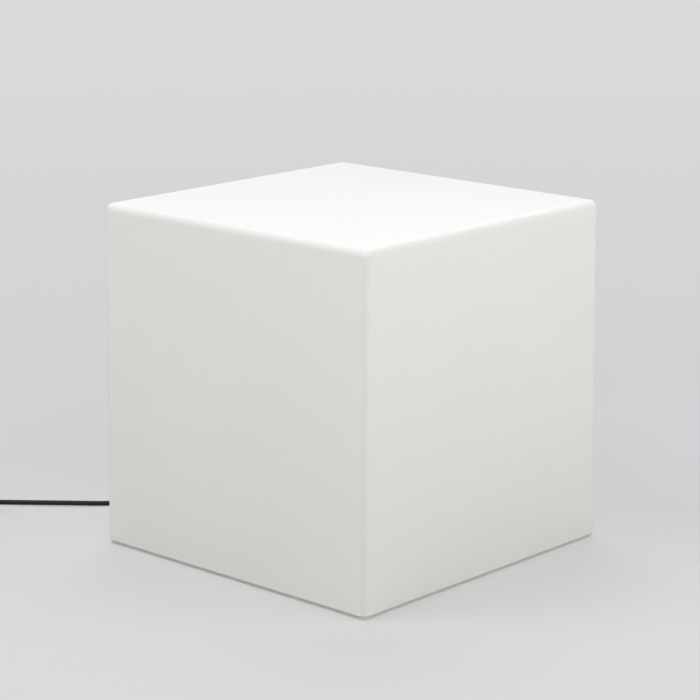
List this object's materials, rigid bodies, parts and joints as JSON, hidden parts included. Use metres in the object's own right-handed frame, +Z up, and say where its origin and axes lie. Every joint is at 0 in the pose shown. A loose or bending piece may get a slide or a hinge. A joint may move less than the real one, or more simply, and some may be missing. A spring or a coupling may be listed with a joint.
{
  "type": "led cube light",
  "caption": "White cube-shaped outdoor floor light: hollow polyethylene shade on an inset base plate, twist-lock lamp unit with LED bulb underneath, black mains lead with plug.",
  "frame": {"origin": "centre of the square footprint, on the floor plane under the rubber feet", "axes": "+Z up; the sides of the shade face +X, -X, +Y and -Y, and the mains lead leaves at the middle of the -X side"},
  "size_m": [0.6689, 0.6166, 0.4],
  "materials": {
    "shade_polyethylene": "matt, faintly grained white polyethylene that lets light through",
    "base_plastic": "matt cream white moulded plastic",
    "cap_plastic": "matt white moulded polypropylene",
    "ring_plastic": "matt white glass-filled polyamide",
    "gasket_rubber": "soft black EPDM",
    "foot_rubber": "soft black rubber",
    "gland_nylon": "black polyamide",
    "zinc_steel": "zinc plated steel",
    "insert_brass": "machined brass",
    "holder_plastic": "black moulded thermoset",
    "carrier_ceramic": "unglazed white ceramic",
    "contact_metal": "sprung brass",
    "sleeve_nickel": "nickel plated brass",
    "core_brown": "brown core insulation",
    "core_blue": "blue core insulation",
    "cord_rubber": "black rubber sheath, faintly satin",
    "plug_rubber": "moulded black rubber",
    "pin_nickel": "nickel plated brass",
    "bulb_cap_metal": "rolled nickel plated shell",
    "bulb_glass_black": "black glass insulator",
    "bulb_plastic": "white moulded plastic",
    "bulb_opal": "opal diffuser",
    "board_aluminium": "aluminium circuit board, white solder mask",
    "driver_green": "green circuit board",
    "driver_part_plastic": "black sleeved components",
    "led_yellow": "yellow phosphor faces"
  },
  "bodies": {
    "shade": {"cube_shell": "shade_polyethylene", "base_plate": "base_plastic", "foot_inserts": "insert_brass", "ring_inserts": "insert_brass", "rubber_feet": "foot_rubber", "foot_screws": "zinc_steel", "ring_gasket": "gasket_rubber", "mounting_ring": "ring_plastic", "ring_screws": "zinc_steel", "mains_cord": "cord_rubber", "cord_coil": "cord_rubber", "cord_tail": "cord_rubber", "plug_strain_relief": "plug_rubber", "plug_body": "plug_rubber", "plug_pins": "pin_nickel"},
    "lamp_unit": {"access_cap": "cap_plastic", "cap_seal": "gasket_rubber", "gland_body": "gland_nylon", "gland_washer": "gasket_rubber", "gland_locknut": "gland_nylon", "gland_seal": "gasket_rubber", "gland_dome_nut": "gland_nylon", "lampholder_bracket": "zinc_steel", "bracket_screws": "zinc_steel", "lampholder_base": "holder_plastic", "holder_screws": "zinc_steel", "lampholder_skirt": "holder_plastic", "contact_carrier": "carrier_ceramic", "screw_sleeve": "sleeve_nickel", "centre_contact": "contact_metal", "terminals": "contact_metal", "terminal_screws": "zinc_steel", "inner_cord": "cord_rubber", "live_core": "core_brown", "neutral_core": "core_blue"},
    "bulb": {"bulb_tip": "contact_metal", "bulb_insulator": "bulb_glass_black", "bulb_cap": "bulb_cap_metal", "bulb_housing": "bulb_plastic", "driver_board": "driver_green", "driver_parts": "driver_part_plastic", "led_board": "board_aluminium", "led_chips": "led_yellow", "bulb_globe": "bulb_opal"}
  },
  "joints": [
    {"name": "cap_twist", "type": "hinge", "parent": "shade", "child": "lamp_unit", "pos_m": [0, 0, 0.054], "axis": [0, 0, 1], "range_deg": [0, 35]},
    {"name": "bulb_unscrew", "type": "slide", "parent": "lamp_unit", "child": "bulb", "axis": [0, 0, 1], "range_m": [0, 0.026]}
  ]
}
